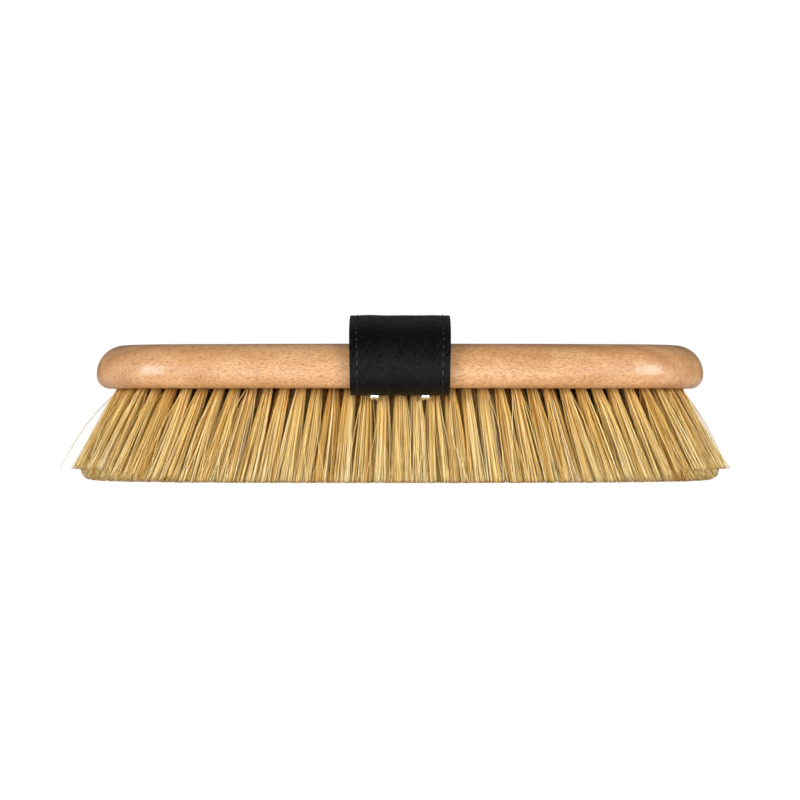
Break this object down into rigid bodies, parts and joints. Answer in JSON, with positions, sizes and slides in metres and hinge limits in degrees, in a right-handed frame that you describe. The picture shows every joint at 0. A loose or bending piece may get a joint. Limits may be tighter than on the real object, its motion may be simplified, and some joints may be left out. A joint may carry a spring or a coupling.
{
  "type": "body dry brush",
  "caption": "Oval beech body brush with flared tufts of stiff plant fibre and a black leather hand strap screwed under both long sides.",
  "frame": {"origin": "middle of the brush in plan, in the plane of the trimmed bristle tips", "axes": "+X along the block, +Y away from the front long side, +Z from the tips up to the hand strap"},
  "size_m": [0.218, 0.088, 0.0561],
  "materials": {
    "beech": "satin",
    "bristle": "matte",
    "black_leather": "satin",
    "strap_lining": "matte",
    "thread": "satin",
    "screw_steel": "gloss",
    "anchor_wire": "satin"
  },
  "bodies": {
    "root": {"wooden_block": "beech", "strap_leather": "black_leather", "strap_lining": "strap_lining", "left_edge_stitching": "thread", "right_edge_stitching": "thread", "strap_screws": "screw_steel", "tuft_anchors": "anchor_wire", "outer_tufts_front": "bristle", "outer_tufts_rear": "bristle", "outer_tufts_left": "bristle", "outer_tufts_right": "bristle", "second_ring_tufts": "bristle", "third_ring_tufts": "bristle", "fourth_ring_tufts": "bristle", "fifth_ring_tufts": "bristle", "centre_row_tufts": "bristle"}
  },
  "joints": []
}
